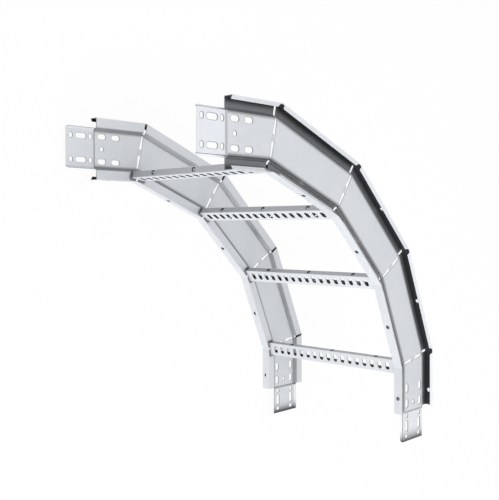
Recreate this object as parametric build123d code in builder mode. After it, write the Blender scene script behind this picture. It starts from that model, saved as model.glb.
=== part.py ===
from build123d import *
from math import cos, radians, sin
import os

# A 90 degree riser for a heavy cable ladder: two sheet steel side rails, each folded
# at four mitre joints, and four slotted rungs between them, one at each joint.
# It lies on its side: +Z runs along the rungs and the lower rail's lips are on the floor.
# The bend centre is in the -X -Y corner, and the rails' two ends point to -X and to -Y.

# Side rails
inner_radius = 600.0         # from the bend centre to the inner flats
rail_depth = 150.0
rail_sheet = 2.0
flange_width = 25.0
lip_height = 8.5
lip_return = 5.0             # the lips slope back this far towards the web
band_width = 24.0            # edge strips of the web
joggle_run = 7.0             # sloped strip between an edge strip and the raised centre
joggle_rise = 8.0
joint_count = 4
bend_angle = 90.0

# Coupler tongue at each end of a rail
tongue_length = 80.0
tongue_edge = 4.5            # of each sloped strip that runs on as the tongue's edge
tongue_step = 2.0            # set in towards the rungs
tongue_joggle = 4.0          # length over which it steps in
tongue_corner = 6.0

# Holes in the rails
web_rows = 61.0              # between the two rows of slots in the web
tongue_rows = 57.0           # and in the tongue
slot_height = 13.0
web_slot_length = 24.0
web_slot_first = 20.0        # from the end of the web to the nearer slots
web_slot_pitch = 40.0
tongue_slot_length = 30.0
tongue_slot_centre = 40.0    # from the end of the web
tongue_short_width = 9.0
tongue_short_pitch = 27.0    # from the long slot to the short ones
round_hole_radius = 5.5
round_hole_inset = 20.0
flange_hole_radius = 5.5
flange_hole_reach = 12.0     # from the web's inner face
end_hole_inset = 40.0        # from the end of the web to the last flange holes

# Slits, gaps and slots at the mitre joints
slit_width = 7.0
slit_end = 28.0              # from the rail's edge
lip_gap = 12.0               # between two lips, at the flange
lip_gap_mouth = 20.0         # and at the lips' free edges
joint_slot_width = 9.0       # at the wide end, by the middle of the web
joint_slot_mouth = 6.0       # at the narrow end, by the edge strip
joint_slot_inset = 2.0       # from the edge of the raised centre
joint_bridge = 14.0          # solid web between the two slots of a joint

# Rungs
clear_width = 450.0          # between the rails
rung_width = 36.5
rung_depth = 17.0
rung_sheet = 2.0
rung_set_back = 5.5          # slotted face behind the rail's inner corner
rung_slot_pitch = 25.0
rung_slot_width = 12.0
rung_slot_height = 21.0
rung_slot_corner = 3.5
rung_hole_radius = 4.0
rung_hole_reach = 10.0       # from the slotted face
rung_hole_count = 3
rung_hole_pitch = 150.0
rung_hole_shift = 9.0        # the row of holes is off centre towards the upper rail

small_hole_sides = 10        # the many small holes are cut with this many flat sides

turn = bend_angle / joint_count
half_turn = radians(turn / 2)
corner_factor = 1 / cos(half_turn)
inner_corner = inner_radius * corner_factor
outer_radius = inner_radius + rail_depth
joint_slot_start = band_width + joggle_run + joint_slot_inset + joint_slot_mouth / 2
joint_slot_end = (rail_depth - joint_bridge - joint_slot_width) / 2
rung_slot_count = round(clear_width / rung_slot_pitch) - 1
centre = (tongue_length - outer_radius) / 2      # bend centre, in X and in Y
lower_web = flange_width                         # inner face of the lower rail's web
upper_web = lower_web + clear_width
middle = lower_web + clear_width / 2
web_cut = joggle_rise + 2 * rail_sheet           # height that clears the web, below the lips


def joint_angle(index):
    """Polar angle of a mitre joint about the bend centre."""
    return bend_angle - turn * (index + 0.5)


def polar(radius, angle):
    """Point at a distance and a direction from the bend centre."""
    return (centre + radius * cos(radians(angle)), centre + radius * sin(radians(angle)))


def rail_path_points():
    """Corners of the inner flats, from one end of the web to the other."""
    corners = [polar(inner_corner, joint_angle(index)) for index in range(joint_count)]
    return [polar(inner_radius, bend_angle)] + corners + [polar(inner_radius, 0)]


def rail_skin():
    """Outer skin of a rail's section: distance from the inner flat, then height."""
    half = [
        (lip_height, flange_width - lip_return),
        (0, flange_width),
        (0, 0),
        (band_width, 0),
        (band_width + joggle_run, joggle_rise),
    ]
    return half + [(rail_depth - reach, height) for reach, height in reversed(half)]


def tongue_skin(step):
    """Skin of a tongue's section: the raised centre with part of both sloped strips."""
    crease = band_width + joggle_run
    edge_height = joggle_rise * (1 - tongue_edge / joggle_run) - step
    half = [(crease - tongue_edge, edge_height), (crease, joggle_rise - step)]
    return half + [(rail_depth - reach, height) for reach, height in reversed(half)]


def end_planes():
    """Planes at the ends of the web: x points out of the rail, y from inner flat to outer."""
    first_origin = (*polar(inner_radius, bend_angle), upper_web)
    last_origin = (*polar(inner_radius, 0), upper_web)
    first = Plane(origin=first_origin, x_dir=(-1, 0, 0), z_dir=(0, 0, -1))
    last = Plane(origin=last_origin, x_dir=(0, -1, 0), z_dir=(0, 0, 1))
    return [first, last]


def fold_rail():
    """Channel with turned lips and a raised web, swept round the mitred bend."""
    with BuildLine(Plane.XY.offset(upper_web)) as path:
        Polyline(*rail_path_points())
    start = Plane(
        origin=(*polar(inner_radius, bend_angle), upper_web), x_dir=(0, 1, 0), z_dir=(1, 0, 0)
    )
    with BuildSketch(start) as section:
        with BuildLine():
            skin = Polyline(*rail_skin())
            offset(skin, amount=rail_sheet, side=Side.LEFT, kind=Kind.INTERSECTION)
        make_face()
    sweep(section.sketch, path=path.line, transition=Transition.RIGHT)


def cut_end_holes():
    """Slots and the round hole in each end of the web and in its tongue."""
    web_middle = -web_slot_first - web_slot_pitch / 2
    for plane in end_planes():
        with BuildSketch(plane) as holes:
            with Locations((web_middle, rail_depth / 2)):
                with GridLocations(web_slot_pitch, web_rows, 2, 2):
                    SlotOverall(web_slot_length, slot_height)
            with Locations((tongue_slot_centre, rail_depth / 2)):
                with GridLocations(0, tongue_rows, 1, 2):
                    SlotOverall(tongue_slot_length, slot_height)
                with GridLocations(2 * tongue_short_pitch, tongue_rows, 2, 2):
                    SlotOverall(slot_height, tongue_short_width, rotation=90)
            with Locations((-round_hole_inset, rail_depth / 2)):
                Circle(round_hole_radius)
        extrude(holes.sketch, amount=web_cut, dir=(0, 0, 1), mode=Mode.SUBTRACT)


def joint_point(reach, along):
    """Point from the bend centre, x along the joint: off the inner flat, and along it."""
    x = (inner_radius + reach) * corner_factor - along * sin(half_turn)
    return (x, along * cos(half_turn))


def notch(root, end, root_width, end_width):
    """Cut across a joint from the inside of a flange towards the middle of the web."""
    one_side = [joint_point(root, root_width / 2), joint_point(end, end_width / 2)]
    other_side = [(x, -y) for x, y in reversed(one_side)]
    return Polygon(joint_point(root, 0), *one_side, *other_side, align=None)


def teardrop(narrow, wide):
    """Slot along a joint, between two distances from the inner flat."""
    with BuildSketch() as slot:
        with Locations(joint_point(narrow, 0)):
            RegularPolygon(joint_slot_mouth / 2, small_hole_sides)
        with Locations(joint_point(wide, 0)):
            RegularPolygon(joint_slot_width / 2, small_hole_sides)
        make_hull()
    return slot.sketch


def cut_joint(index):
    """Slits in the edge strips, two slots in the raised centre, and gaps in the lips."""
    angle = radians(joint_angle(index))
    about_centre = Plane(
        origin=(centre, centre, upper_web), x_dir=(cos(angle), sin(angle), 0), z_dir=(0, 0, 1)
    )
    far_root = rail_depth - rail_sheet
    with BuildSketch(about_centre) as slits:
        notch(rail_sheet, slit_end, slit_width, slit_width)
        notch(far_root, rail_depth - slit_end, slit_width, slit_width)
    extrude(slits.sketch, amount=web_cut, mode=Mode.SUBTRACT)
    inner_slot = teardrop(joint_slot_start, joint_slot_end)
    outer_slot = teardrop(rail_depth - joint_slot_start, rail_depth - joint_slot_end)
    for slot in (inner_slot, outer_slot):
        extrude(about_centre * slot, amount=web_cut, mode=Mode.SUBTRACT)
    with BuildSketch(about_centre.offset(web_cut)) as gaps:
        notch(rail_sheet, lip_height + rail_sheet, lip_gap, lip_gap_mouth)
        notch(far_root, far_root - lip_height, lip_gap, lip_gap_mouth)
    extrude(gaps.sketch, amount=flange_width - web_cut, mode=Mode.SUBTRACT)


def cut_flange_holes():
    """One small hole in each flange, at the middle of a flat or near the rail's end."""
    places = [(bend_angle - turn * index, 0) for index in range(1, joint_count)]
    places += [(bend_angle, -end_hole_inset), (0, end_hole_inset)]
    for angle, shift in places:
        out = Vector(cos(radians(angle)), sin(radians(angle)))
        along = out.rotate(Axis.Z, 90)
        for radius in (inner_radius, outer_radius - rail_sheet):
            foot = Vector(*polar(radius, angle)) + along * shift
            origin = foot + Vector(0, 0, upper_web + flange_hole_reach)
            with BuildSketch(Plane(origin=origin, z_dir=out)) as hole:
                RegularPolygon(flange_hole_radius, small_hole_sides)
            extrude(hole.sketch, amount=rail_sheet, mode=Mode.SUBTRACT)


with BuildPart() as tongue:
    web_end = Plane(
        origin=(*polar(inner_radius, 0), upper_web), x_dir=(1, 0, 0), z_dir=(0, -1, 0)
    )
    with BuildSketch(web_end):
        with BuildLine():
            web_skin = Polyline(*tongue_skin(0))
            offset(web_skin, amount=rail_sheet, side=Side.LEFT, kind=Kind.INTERSECTION)
        make_face()
    with BuildSketch(web_end.offset(tongue_joggle)) as stepped:
        with BuildLine():
            stepped_skin = Polyline(*tongue_skin(tongue_step))
            offset(stepped_skin, amount=rail_sheet, side=Side.LEFT, kind=Kind.INTERSECTION)
        make_face()
    loft(ruled=True)
    extrude(stepped.sketch, amount=tongue_length - tongue_joggle)
    tip = tongue.faces().sort_by(Axis.Y)[0]
    fillet(tip.edges().sort_by(SortBy.LENGTH)[:2], radius=tongue_corner)

bisector = Plane(origin=(centre, centre, upper_web), z_dir=(1, -1, 0))

with BuildPart() as upper_side_rail:
    fold_rail()
    add(tongue.part)
    mirror(tongue.part, about=bisector)
    cut_end_holes()
    for joint in range(joint_count):
        cut_joint(joint)
    cut_flange_holes()

with BuildPart() as lower_side_rail:
    mirror(upper_side_rail.part, about=Plane.XY.offset(middle))


def make_rung(index):
    """Channel between the rails: slotted face to the bend centre, holes in both sides."""
    angle = joint_angle(index)
    face_centre = polar(inner_corner + rung_set_back, angle)
    outward = (cos(radians(angle)), sin(radians(angle)), 0)
    section = Plane(origin=(*face_centre, lower_web), x_dir=outward, z_dir=(0, 0, 1))
    face = Plane(origin=(*face_centre, middle), x_dir=(0, 0, 1), z_dir=outward)
    side = Plane(origin=(*face_centre, middle), x_dir=(0, 0, 1), z_dir=section.y_dir)
    with BuildPart() as rung:
        with BuildSketch(section):
            with BuildLine():
                skin = Polyline(
                    (rung_depth, rung_width / 2),
                    (0, rung_width / 2),
                    (0, -rung_width / 2),
                    (rung_depth, -rung_width / 2),
                )
                offset(skin, amount=-rung_sheet, side=Side.LEFT)
            make_face()
        extrude(amount=clear_width)
        with BuildSketch(face) as slots:
            with GridLocations(rung_slot_pitch, 0, rung_slot_count, 1):
                Rectangle(rung_slot_width, rung_slot_height)
            chamfer(slots.vertices(), length=rung_slot_corner)
        extrude(amount=rung_sheet, both=True, mode=Mode.SUBTRACT)
        with BuildSketch(side):
            with Locations((rung_hole_shift, rung_hole_reach)):
                with GridLocations(rung_hole_pitch, 0, rung_hole_count, 1):
                    RegularPolygon(rung_hole_radius, small_hole_sides)
        extrude(amount=rung_width, both=True, mode=Mode.SUBTRACT)
    return rung


rungs = [make_rung(index) for index in range(joint_count)]
rung_names = ["first_rung", "second_rung", "third_rung", "fourth_rung"]

os.makedirs("parts", exist_ok=True)
upper_side_rail.part.label = "upper_side_rail"
export_step(upper_side_rail.part, "parts/upper_side_rail.step")
lower_side_rail.part.label = "lower_side_rail"
export_step(lower_side_rail.part, "parts/lower_side_rail.step")
for rung, name in zip(rungs, rung_names):
    rung.part.label = name
    export_step(rung.part, f"parts/{name}.step")
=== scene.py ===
from functools import reduce
from math import cos, radians, sin

import bmesh
import bpy
from mathutils import Matrix, Vector


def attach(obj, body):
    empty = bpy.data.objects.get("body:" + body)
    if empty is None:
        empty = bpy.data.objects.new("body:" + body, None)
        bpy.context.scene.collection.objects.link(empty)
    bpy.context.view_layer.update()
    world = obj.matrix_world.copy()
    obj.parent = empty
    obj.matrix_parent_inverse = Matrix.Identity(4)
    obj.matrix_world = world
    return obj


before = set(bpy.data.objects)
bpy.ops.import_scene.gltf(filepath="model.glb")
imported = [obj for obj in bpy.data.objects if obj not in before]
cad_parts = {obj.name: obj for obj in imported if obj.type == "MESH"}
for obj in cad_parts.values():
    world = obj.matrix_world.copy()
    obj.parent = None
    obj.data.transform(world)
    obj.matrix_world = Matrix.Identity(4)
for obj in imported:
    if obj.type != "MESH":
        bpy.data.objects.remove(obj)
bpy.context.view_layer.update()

RAILS = ["upper_side_rail", "lower_side_rail"]
RUNGS = ["first_rung", "second_rung", "third_rung", "fourth_rung"]

# Photograph's size in pixels, and the camera fitted to it in metres and radians
PHOTO_WIDTH = 499.0
PHOTO_HEIGHT = 500.0
FOCAL = 767.84
CENTRE_X = 283.43
CENTRE_Y = 234.56
DISTANCE = 1.9497
TURN = 0.743
PITCH = -0.0097
ROLL = -0.0015
TARGET = Vector((0.040, 0.13094, 0.2921))
SENSOR = 36.0                # millimetres
FARTHEST_SEEN = 50.0

# Sizes of the riser in millimetres and degrees, used to tell its surfaces apart
BEND_CENTRE = -335.0         # in X and in Y
INNER_RADIUS = 600.0
FLAT_ANGLES = [0.0, 22.5, 45.0, 67.5, 90.0]
JOINT_ANGLES = [11.25, 33.75, 56.25, 78.75]
MIDDLE_HEIGHT = 250.0        # of the rungs, above the floor
HALF_CLEAR_WIDTH = 225.0     # from there to each web
SHEET = 2.0
METRE = 1000.0

# Side rails
RAIL_DEPTH = 150.0
MIDDLE_REACH = INNER_RADIUS + RAIL_DEPTH / 2
FLANGE = 25.0
LIP_SLOPE = 5.0 / 8.5        # the lips slope back towards the web
LIP_COSINE = 0.86            # of that slope's angle
BAND = 24.0                  # edge strips of the web
CREASE = 31.0                # where the raised centre starts
RAISE = 8.0
TONGUE_STEP = 2.0
TONGUE_LENGTH = 80.0

# Holes at the ends of the rails: places from the web's end and from its middle line
WEB_SLOT_MIDDLE = 40.0
WEB_SLOT_HALF_PITCH = 20.0
WEB_ROW = 30.5
WEB_SLOT_STRAIGHT = 5.5      # half of a slot's straight part
SLOT_RADIUS = 6.5
ROUND_HOLE_INSET = 20.0
ROUND_HOLE_RADIUS = 5.5
TONGUE_SLOT_MIDDLE = 40.0
TONGUE_ROW = 28.5
LONG_SLOT_STRAIGHT = 8.5
SHORT_SLOT_PITCH = 27.0      # from the long slot to the short ones
SHORT_SLOT_STRAIGHT = 2.0
SHORT_SLOT_RADIUS = 4.5

# Rungs
RUNG_SET_BACK = 5.5
RUNG_FACE = INNER_RADIUS / cos(radians(JOINT_ANGLES[0])) + RUNG_SET_BACK
RUNG_HALF_WIDTH = 18.25
RUNG_DEPTH = 17.0
RUNG_LIP = 9.5
LIP_OVERLAP = 0.1            # of a lip into the rung's wall
SIDE_HOLE_SHIFT = 9.0        # of the middle hole, towards the upper rail
SIDE_HOLE_HALF_PITCH = 75.0
SIDE_HOLE_REACH = 10.0       # from the slotted face
SIDE_HOLE_RADIUS = 4.0

# Ramps in millimetres, from one surface or place to the next
WEB_END = (-0.2, 0.2)
TONGUE_START = (-6.0, -4.0)
TONGUE_TIP = (43.0, TONGUE_LENGTH)
BETWEEN_SKINS = (0.6, 1.4)
PAST_FLANGE = (0.5, 1.5)
PAST_BAND = (BAND - 1.0, BAND + 2.0)
UNDER_LIP = (4.0, 15.0)
HOLLOW_END = (CREASE - 1.0, CREASE + 1.0)
FOLD_START = (BAND - 2.0, BAND + 1.0)
FOLD_END = (CREASE, CREASE + 6.0)
CORNER = (2.5, 6.0)
MIDDLE = (-1.0, 1.0)
RUNG_CONTACT_SHADE_REACH = (3.0, 12.0)
HOLE_RIM = (0.0, 2.2)
JOINT_RIM_START = (2.0, 3.0)
JOINT_RIM_END = (4.0, 6.5)
RAISED_CENTRE = (CREASE, CREASE + 2.0)
CUT_START = (0.1, 0.35)
CUT_END = (SHEET - 0.35, SHEET - 0.1)
PAST_RUNG_FACE = (0.5, 2.0)
PAST_RUNG_SKIN = (0.2, 0.5)
BESIDE_RUNG = (-10.0, -5.0)
OWN_RUNG = 100.0             # falls off beside a rung, so that the others don't count
OWN_RUNG_SLOPE = 2.0
SIDE_HOLE_RIM = (1.4, 3.0)
RUNG_LIP_FACE = (RUNG_DEPTH - SHEET - 0.6, RUNG_DEPTH - SHEET - 0.2)
RUNG_OPEN_SIDE = (RUNG_DEPTH - 1.0, RUNG_DEPTH - 0.3)
RUNG_END = (HALF_CLEAR_WIDTH - 7.0, HALF_CLEAR_WIDTH - 2.0)
ALONG_RUNG = (-170.0, 40.0)

# Share of painted shade, a dark grey mixed into the zinc, place by place
# Painted shade in the channel's hollow: sloped strip, band, under the lip and in the
# corner
PAINTED_SHADE_SLOPED_STRIP = 0.5
PAINTED_SHADE_BAND = 0.32             # more than on the sloped strip
PAINTED_SHADE_UNDER_LIP = 0.16        # more again
PAINTED_SHADE_CORNER = 0.12
# Painted shade in the web's folds on the ladder side
PAINTED_SHADE_FOLD = 0.5
# Painted shade on the web's ladder side and on the flanges' outer skins
PAINTED_SHADE_LADDER_SIDE = 0.22
PAINTED_SHADE_FLANGE = 0.12
# Painted shade at the tongue's step, on the tongues, more on the lower rail, and towards
# their tips
PAINTED_SHADE_STEP = 0.6              # where a tongue leaves the web
PAINTED_SHADE_TONGUE = 0.11
PAINTED_SHADE_LOWER_TONGUE = 0.09     # more than on the upper rail
PAINTED_SHADE_TIP = 0.95
# Painted contact shade on the web around each rung's end
PAINTED_CONTACT_SHADE = 0.88
# Painted shade around the punched holes, the joint slots and on cut edges
PAINTED_SHADE_RIM = 0.7
PAINTED_SHADE_JOINT_RIM = 0.45
PAINTED_SHADE_CUT = 0.9
DARKEST_PAINTED_SHADE = 0.97
# Painted shade inside the rungs
PAINTED_SHADE_RUNG_INSIDE = 0.9
PAINTED_LIGHT_ON_LIPS = 0.65            # painted light: less painted shade on the lips, towards the upper rail
# Painted shade on the rung sides and at the rung ends
PAINTED_SHADE_RUNG_SIDE = 0.42
PAINTED_SHADE_RUNG_END = 0.8

# Finishes: colours, and patterns in cells to a metre
# Dark grey that is mixed into the zinc as painted shade
PAINTED_SHADE_GREY = (0.04, 0.042, 0.048, 1)
RAIL_ZINC = ((0.785, 0.81, 0.85, 1), (0.85, 0.87, 0.90, 1))
# The rungs' zinc is the rails' sheet painted a shade darker: painted shade
SHADED_RUNG_ZINC = ((0.70, 0.725, 0.765, 1), (0.765, 0.785, 0.815, 1))
CRYSTALS = 160.0
CLOUDS = 9.0
SHEEN_PATCHES = 22.0
GRAIN = 420.0
FINE_DETAIL = 3.0            # of the clouds and the grain
CRYSTAL_SHARE = 0.35
TONE_SPREAD = (0.2, 0.8)
SATIN = 0.45
SATIN_SPREAD = 0.05
METAL_SHARE = 0.6
GRAIN_STRENGTH = 0.06
GRAIN_DEPTH = 0.0004

# Studio: metres and watts, with the lamps' directions from the riser's middle
RISER_MIDDLE = Vector((0.0, 0.0, 0.3))
LAMP_REACH = 5.0
LAMPS = [
    ("overhead", (-0.23, 0.0, 0.97), 4.0, 74.0),
    ("below", (-0.15, -0.97, 0.20), 3.2, 120.0),
    ("left", (-0.90, -0.40, 0.25), 3.4, 24.0),
]
WORLD_LEVEL = 0.73
FLOOR_SIZE = 16.0
FLOOR_GAP = 0.0005
FLOOR_PAINT = (0.9, 0.9, 0.9, 1)
FLOOR_ROUGHNESS = 0.8
FLOOR_WHITE_SHARE = 0.93     # the rest of what the camera sees is paint, with the shadow
WHITE = (1, 1, 1, 1)


class Value:
    """A socket of a material or the world, so that its maths reads as an expression."""

    def __init__(self, tree, socket):
        self.tree = tree
        self.socket = socket

    @classmethod
    def of(cls, tree, kind, settings, sockets, result=0):
        """New node: its settings are set first, then its sockets are filled or linked."""
        node = tree.nodes.new(kind)
        for name, setting in settings.items():
            setattr(node, name, setting)
        for name, item in sockets.items():
            if isinstance(item, cls):
                tree.links.new(item.socket, node.inputs[name])
            else:
                node.inputs[name].default_value = item
        return cls(tree, node.outputs[result])

    def _math(self, operation, first, second):
        settings = {"operation": operation}
        return Value.of(self.tree, "ShaderNodeMath", settings, {0: first, 1: second})

    def __add__(self, other):
        return self._math("ADD", self, other)

    def __radd__(self, other):
        return self._math("ADD", other, self)

    def __sub__(self, other):
        return self._math("SUBTRACT", self, other)

    def __rsub__(self, other):
        return self._math("SUBTRACT", other, self)

    def __mul__(self, other):
        return self._math("MULTIPLY", self, other)

    def __rmul__(self, other):
        return self._math("MULTIPLY", other, self)

    def __abs__(self):
        return self._math("ABSOLUTE", self, 0.0)

    def root(self):
        return self._math("SQRT", self, 0.0)

    def larger(self, other):
        return self._math("MAXIMUM", self, other)

    def smaller(self, other):
        return self._math("MINIMUM", self, other)

    def within(self, low, high):
        """Stretches low..high to 0..1 and stops there."""
        sockets = {"Value": self, "From Min": low, "From Max": high}
        return Value.of(self.tree, "ShaderNodeMapRange", {}, sockets, "Result")

    def before(self, low, high):
        """The reverse: one up to low, and nothing from high on."""
        return 1.0 - self.within(low, high)


def largest(values):
    return reduce(Value.larger, values)


def smallest(values):
    return reduce(Value.smaller, values)


def total(values):
    return reduce(Value.__add__, values)


def on_object(tree):
    return Value.of(tree, "ShaderNodeTexCoord", {}, {}, "Object")


def noise(tree, scale, detail=2.0):
    sockets = {"Vector": on_object(tree), "Scale": scale, "Detail": detail}
    return Value.of(tree, "ShaderNodeTexNoise", {}, sockets, "Fac")


def spangle(tree, scale):
    """Even tone per zinc crystal."""
    sockets = {"Vector": on_object(tree), "Scale": scale}
    cells = Value.of(tree, "ShaderNodeTexVoronoi", {}, sockets, "Color")
    return Value.of(tree, "ShaderNodeSeparateColor", {}, {"Color": cells}, "Red")


def blend(tree, factor, low, high):
    """Mix of two colours."""
    sockets = {0: factor, 6: low, 7: high}
    return Value.of(tree, "ShaderNodeMix", {"data_type": "RGBA"}, sockets, 2)


def from_bend_centre(tree):
    """Millimetres from the bend centre in X and Y, and from the rungs' middle in Z."""
    split = {"Vector": on_object(tree)}
    x, y, z = (METRE * Value.of(tree, "ShaderNodeSeparateXYZ", {}, split, axis)
               for axis in "XYZ")
    return x - BEND_CENTRE, y - BEND_CENTRE, z - MIDDLE_HEIGHT


def from_rung_face(x, y, angle):
    """Distance behind the slotted face of the rung at a joint, and beside its middle."""
    turn_x, turn_y = cos(radians(angle)), sin(radians(angle))
    return turn_x * x + turn_y * y - RUNG_FACE, abs(turn_x * y - turn_y * x)


def from_rungs(x, y):
    """Distance outside the outline of the nearest rung, as it stands on the web."""
    squares = []
    for angle in JOINT_ANGLES:
        behind, beside = from_rung_face(x, y, angle)
        past_depth = (abs(behind - RUNG_DEPTH / 2) - RUNG_DEPTH / 2).larger(0.0)
        past_side = (beside - RUNG_HALF_WIDTH).larger(0.0)
        squares.append(past_depth * past_depth + past_side * past_side)
    return smallest(squares).root()


def from_slot(along, across, half_length, radius):
    """Distance outside a round-ended slot; a round hole has no length."""
    past_end = (abs(along) - half_length).larger(0.0)
    return (past_end * past_end + across * across).root() - radius


def cut_edges(into_sheet):
    """Edges of the sheet where it was sheared or punched, between its two skins, painted
    dark as shade.
    """
    return into_sheet.within(*CUT_START) * into_sheet.before(*CUT_END)


def punched_rims(x, y):
    """Soft rims of the slots and round holes at the web's two ends and on the tongues,
    where shade is painted.
    """
    along = x.smaller(y)
    across = abs(x.larger(y) - MIDDLE_REACH)
    beside_web_middle = abs(abs(along - WEB_SLOT_MIDDLE) - WEB_SLOT_HALF_PITCH)
    from_long_slot = along + TONGUE_SLOT_MIDDLE
    off_tongue_row = across - TONGUE_ROW
    return smallest([
        from_slot(beside_web_middle, across - WEB_ROW, WEB_SLOT_STRAIGHT, SLOT_RADIUS),
        from_slot(along - ROUND_HOLE_INSET, across, 0.0, ROUND_HOLE_RADIUS),
        from_slot(from_long_slot, off_tongue_row, LONG_SLOT_STRAIGHT, SLOT_RADIUS),
        from_slot(off_tongue_row, abs(from_long_slot) - SHORT_SLOT_PITCH,
                  SHORT_SLOT_STRAIGHT, SHORT_SLOT_RADIUS),
    ]).before(*HOLE_RIM)


def joint_rims(x, y):
    """Soft rims of the slots on the four mitre joints, where shade is painted."""
    off = smallest([abs(sin(radians(angle)) * x - cos(radians(angle)) * y)
                    for angle in JOINT_ANGLES])
    return off.within(*JOINT_RIM_START) * off.before(*JOINT_RIM_END)


def rail_painted_shade(tree):
    """Painted shade on the rails: in the hollows and folds, around the rung ends, on the
    tongues, at hole rims and on cut edges.
    """
    x, y, z = from_bend_centre(tree)
    outward = [x] + [cos(radians(angle)) * x + sin(radians(angle)) * y
                     for angle in FLAT_ANGLES[1:]]
    reach = largest(outward) - INNER_RADIUS
    edge = reach.smaller(RAIL_DEPTH - reach)
    height = abs(z) - HALF_CLEAR_WIDTH
    on_web = x.within(*WEB_END) * y.within(*WEB_END)
    into_web = height - RAISE * edge.within(BAND, CREASE) + TONGUE_STEP * (1.0 - on_web)
    into_lip = (FLANGE - LIP_SLOPE * edge - height) * LIP_COSINE
    into_sheet = smallest([into_web, edge, into_lip])

    channel_side = into_sheet.within(*BETWEEN_SKINS)
    other_side = (1.0 - channel_side) * on_web
    # Painted shade on the web's ladder side and on the flanges' outer skins
    ladder_side = other_side * edge.within(*PAST_FLANGE)
    flange_skin = other_side * edge.before(*PAST_FLANGE)
    # Painted shade in the channel's hollow, deepest under the lip and in the corner
    hollow = channel_side * on_web * edge.before(*HOLLOW_END)
    corner = hollow * height.within(*CORNER)
    # Painted shade along the web's folds
    fold = ladder_side * edge.within(*FOLD_START) * edge.before(*FOLD_END)
    # Painted shade on the tongues and their step, darkening towards the tips
    tongue = 1.0 - x.within(*TONGUE_START) * y.within(*TONGUE_START)
    step = (1.0 - on_web) * (1.0 - tongue)
    tip = (0.0 - y).within(*TONGUE_TIP)

    band_share = PAINTED_SHADE_BAND * edge.before(*PAST_BAND)
    lip_share = PAINTED_SHADE_UNDER_LIP * edge.before(*UNDER_LIP)
    hollow_share = PAINTED_SHADE_SLOPED_STRIP + band_share + lip_share
    tongue_share = PAINTED_SHADE_TONGUE + PAINTED_SHADE_LOWER_TONGUE * z.before(*MIDDLE)
    # Painted shade from the hollow, corner, folds, ladder side, flanges, tongue step,
    # tongues and tongue tips
    painted_shade = (hollow_share * hollow + PAINTED_SHADE_CORNER * corner + PAINTED_SHADE_FOLD * fold
            + PAINTED_SHADE_LADDER_SIDE * ladder_side + PAINTED_SHADE_FLANGE * flange_skin
            + PAINTED_SHADE_STEP * step + tongue_share * tongue + PAINTED_SHADE_TIP * (tip * tip))
    return largest([
        painted_shade,
        # Painted contact shade on the web around each rung's end
        PAINTED_CONTACT_SHADE * (ladder_side * from_rungs(x, y).before(*RUNG_CONTACT_SHADE_REACH)),
        # Painted shade on the cut edges
        PAINTED_SHADE_CUT * cut_edges(into_sheet),
        # Painted shade around the punched holes
        PAINTED_SHADE_RIM * punched_rims(x, y),
        # Painted shade around the joint slots
        PAINTED_SHADE_JOINT_RIM * joint_rims(x, y) * edge.within(*RAISED_CENTRE),
    ]).smaller(DARKEST_PAINTED_SHADE)


def rung_painted_shade(tree):
    """Painted shade on the rungs: inside, on the sides, at the ends by the webs, at hole
    rims and on cut edges, less on the lips towards the upper rail.
    """
    x, y, z = from_bend_centre(tree)
    from_middle_hole = abs(z - SIDE_HOLE_SHIFT)
    hole_along = abs(from_middle_hole - SIDE_HOLE_HALF_PITCH) - SIDE_HOLE_HALF_PITCH
    depths, sheets, sides, rims = [], [], [], []
    for angle in JOINT_ANGLES:
        behind, beside = from_rung_face(x, y, angle)
        into_wall = RUNG_HALF_WIDTH - beside
        side = behind.within(*PAST_RUNG_FACE) * into_wall.before(*PAST_RUNG_SKIN)
        side = side * into_wall.within(*BESIDE_RUNG)
        hole = from_slot(hole_along, behind - SIDE_HOLE_REACH, 0.0, SIDE_HOLE_RADIUS)
        depths.append(behind.smaller(OWN_RUNG - OWN_RUNG_SLOPE * beside))
        sheets.append(behind.smaller(into_wall))
        sides.append(side)
        # Painted shade around the rung side holes
        rims.append(side * hole.before(*SIDE_HOLE_RIM))
    depth, into_sheet, side = largest(depths), largest(sheets), total(sides)
    # Painted light: the lips' shade fades towards the upper rail
    lips_painted_light = PAINTED_LIGHT_ON_LIPS * (depth.within(*RUNG_LIP_FACE) * z.within(*ALONG_RUNG))
    # Painted shade inside the rungs
    inside = (PAINTED_SHADE_RUNG_INSIDE - lips_painted_light) * into_sheet.within(*BETWEEN_SKINS)
    painted_shade = largest([
        # Painted shade on the rung sides
        inside + PAINTED_SHADE_RUNG_SIDE * side,
        # Painted shade on the cut edges
        PAINTED_SHADE_CUT * cut_edges(into_sheet),
        # Painted shade around the rung side holes
        total(rims),
        # Painted contact shade at the rungs' ends by the webs
        PAINTED_SHADE_RUNG_END * (side * abs(z).within(*RUNG_END)),
    ])
    return painted_shade * depth.before(*RUNG_OPEN_SIDE)


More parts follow.
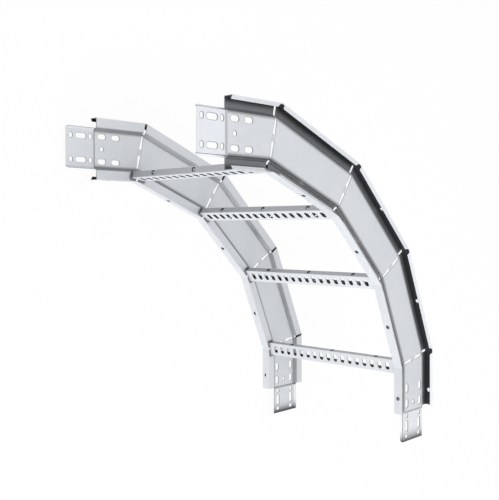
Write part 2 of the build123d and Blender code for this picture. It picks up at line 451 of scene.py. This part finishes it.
def galvanised(name, zinc_tones, painted_shade_of):
    """Zinc coated sheet with a soft sheen, faint crystals and painted shade mixed in as
    dark grey.
    """
    material = bpy.data.materials.new(name)
    material.use_nodes = True
    tree = material.node_tree
    shader = tree.nodes["Principled BSDF"]
    crystals = spangle(tree, CRYSTALS)
    clouds = noise(tree, CLOUDS, FINE_DETAIL)
    tone = CRYSTAL_SHARE * crystals + (1.0 - CRYSTAL_SHARE) * clouds
    zinc = blend(tree, tone.within(*TONE_SPREAD), *zinc_tones)
    # Painted shade: the dark grey is mixed in where the masks put shade
    zinc = blend(tree, painted_shade_of(tree), zinc, PAINTED_SHADE_GREY)
    rough = SATIN + SATIN_SPREAD * noise(tree, SHEEN_PATCHES) + SATIN_SPREAD * crystals
    grain = {"Height": noise(tree, GRAIN, FINE_DETAIL), "Strength": GRAIN_STRENGTH,
             "Distance": GRAIN_DEPTH}
    bump = Value.of(tree, "ShaderNodeBump", {}, grain, "Normal")
    shader.inputs["Metallic"].default_value = METAL_SHARE
    for slot, item in (("Base Color", zinc), ("Roughness", rough), ("Normal", bump)):
        tree.links.new(item.socket, shader.inputs[slot])
    return material


def rung_lips(name, angle):
    """Two lips turned in along a rung's open side, flush with the ends of its walls."""
    lips = bmesh.new()
    inner = RUNG_HALF_WIDTH - RUNG_LIP
    outer = RUNG_HALF_WIDTH - SHEET + LIP_OVERLAP
    size = Vector((SHEET, outer - inner, 2.0 * HALF_CLEAR_WIDTH))
    for side in (-1.0, 1.0):
        middle = (RUNG_FACE + RUNG_DEPTH - SHEET / 2, side * (inner + outer) / 2, 0.0)
        shape = Matrix.Translation(middle) @ Matrix.Diagonal(size).to_4x4()
        bmesh.ops.create_cube(lips, size=1.0, matrix=shape)
    turn = Matrix.Rotation(radians(angle), 4, "Z")
    bend_centre = Matrix.Translation((BEND_CENTRE, BEND_CENTRE, MIDDLE_HEIGHT))
    place = Matrix.Scale(1.0 / METRE, 4) @ bend_centre @ turn
    bmesh.ops.transform(lips, verts=lips.verts[:], matrix=place)
    mesh = bpy.data.meshes.new(name)
    lips.to_mesh(mesh)
    lips.free()
    piece = bpy.data.objects.new(name, mesh)
    piece.data.materials.append(rung_steel)
    bpy.context.collection.objects.link(piece)
    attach(piece, "root")


rail_steel = galvanised("rail_steel_look", RAIL_ZINC, rail_painted_shade)
rung_steel = galvanised("rung_steel_look", SHADED_RUNG_ZINC, rung_painted_shade)
for names, look in ((RAILS, rail_steel), (RUNGS, rung_steel)):
    for name in names:
        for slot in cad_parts[name].material_slots:
            slot.material = look
for name, angle in zip(RUNGS, JOINT_ANGLES[::-1]):
    rung_lips(f"{name}_lips", angle)


def shown(tree, camera_share):
    """One for rays that show the background: the camera's, mirrored and passing ones."""
    seen, mirrored, passing = (
        Value.of(tree, "ShaderNodeLightPath", {}, {}, ray)
        for ray in ("Is Camera Ray", "Is Glossy Ray", "Is Transmission Ray"))
    return largest([camera_share * seen, mirrored, passing])


def floor_material():
    """White to the rays that show the background, with a soft shadow on pale paint."""
    material = bpy.data.materials.new("floor_white")
    material.use_nodes = True
    tree = material.node_tree
    paint = tree.nodes["Principled BSDF"]
    paint.inputs["Base Color"].default_value = FLOOR_PAINT
    paint.inputs["Roughness"].default_value = FLOOR_ROUGHNESS
    paint.inputs["Specular IOR Level"].default_value = 0.0
    glow = Value.of(tree, "ShaderNodeEmission", {}, {"Color": WHITE, "Strength": 1.0})
    both = {0: shown(tree, FLOOR_WHITE_SHARE), 1: Value(tree, paint.outputs[0]), 2: glow}
    mix = Value.of(tree, "ShaderNodeMixShader", {}, both)
    tree.links.new(mix.socket, tree.nodes["Material Output"].inputs["Surface"])
    return material


bpy.ops.mesh.primitive_plane_add(size=FLOOR_SIZE, location=(0, 0, -FLOOR_GAP))
floor = bpy.context.object
floor.name = "floor"
floor.data.materials.append(floor_material())

world = bpy.data.worlds.new("studio")
bpy.context.scene.world = world
world.use_nodes = True
sky = world.node_tree.nodes["Background"]
sky.inputs["Color"].default_value = WHITE
sky_strength = WORLD_LEVEL + (1.0 - WORLD_LEVEL) * shown(world.node_tree, 1.0)
world.node_tree.links.new(sky_strength.socket, sky.inputs["Strength"])

for name, toward, size, power in LAMPS:
    light = bpy.data.lights.new(name, "AREA")
    light.shape = "SQUARE"
    light.size = size
    light.energy = power
    lamp = bpy.data.objects.new(name, light)
    from_middle = Vector(toward).normalized() * LAMP_REACH
    lamp.location = RISER_MIDDLE + from_middle
    lamp.rotation_euler = (-from_middle).to_track_quat("-Z", "Y").to_euler()
    lamp.visible_camera = False
    bpy.context.collection.objects.link(lamp)

right = Vector((sin(TURN), 0, cos(TURN)))
forward = Vector((cos(TURN) * cos(PITCH), sin(PITCH), -sin(TURN) * cos(PITCH)))
up = right.cross(forward)
across = right * cos(ROLL) + up * sin(ROLL)
above = up * cos(ROLL) - right * sin(ROLL)
lens = bpy.data.cameras.new("camera")
lens.sensor_fit = "HORIZONTAL"
lens.sensor_width = SENSOR
lens.lens = FOCAL / PHOTO_WIDTH * SENSOR
lens.shift_x = (PHOTO_WIDTH / 2 - CENTRE_X) / PHOTO_WIDTH
lens.shift_y = (CENTRE_Y - PHOTO_HEIGHT / 2) / PHOTO_WIDTH
lens.clip_end = FARTHEST_SEEN
camera = bpy.data.objects.new("camera", lens)
turned = Matrix((across, above, -forward)).transposed()
camera.matrix_world = Matrix.Translation(TARGET - forward * DISTANCE) @ turned.to_4x4()
bpy.context.collection.objects.link(camera)
bpy.context.scene.camera = camera

bpy.context.scene.view_settings.view_transform = "Standard"
